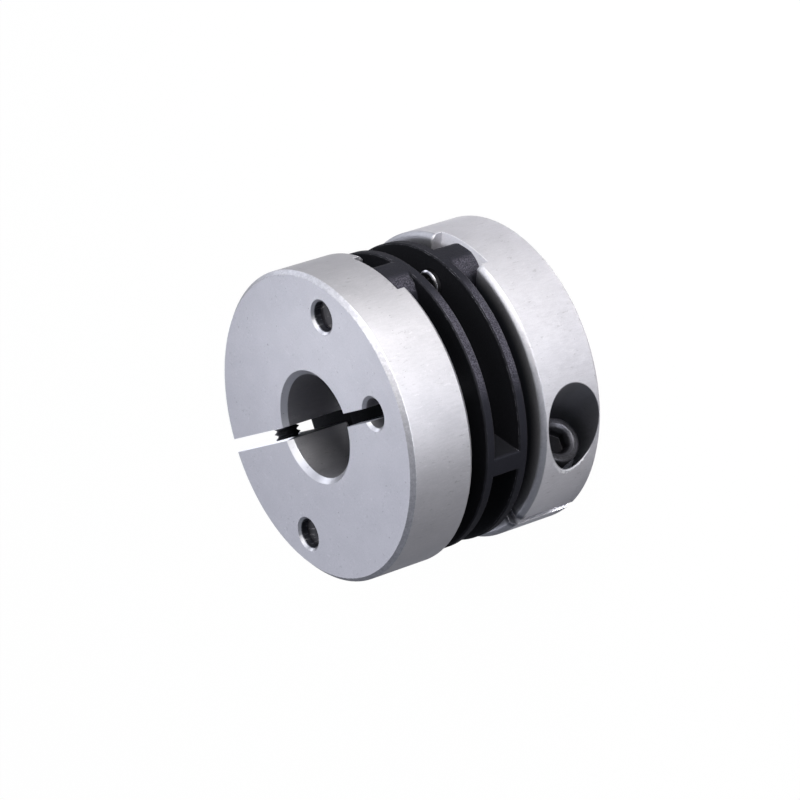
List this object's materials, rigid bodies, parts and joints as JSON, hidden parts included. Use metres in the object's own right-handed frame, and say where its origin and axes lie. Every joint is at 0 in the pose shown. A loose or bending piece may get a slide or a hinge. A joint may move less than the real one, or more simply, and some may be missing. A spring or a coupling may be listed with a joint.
{
  "type": "disc coupling",
  "caption": "Backlash-free shaft coupling: slit clamp hubs carried on pins by a one-piece moulded double disc.",
  "frame": {"origin": "centre of the rear hub's outer face, on which the coupling stands", "axes": "+Z along the shaft axis towards the front hub, +X opposite the open end of the front hub's slit"},
  "size_m": [0.036, 0.036, 0.0267],
  "materials": {
    "hub_aluminium": "fine turned, satin",
    "disc_plastic": "black acetal, moulded, slightly grainy rims",
    "pin_steel": "ground, smooth",
    "screw_steel": "black oxide"
  },
  "bodies": {
    "root": {"front_hub": "hub_aluminium", "rear_hub": "hub_aluminium", "double_disc": "disc_plastic", "front_pin_a": "pin_steel", "front_pin_b": "pin_steel", "rear_pin_a": "pin_steel", "rear_pin_b": "pin_steel", "front_clamp_screw": "screw_steel", "rear_clamp_screw": "screw_steel"}
  },
  "joints": []
}
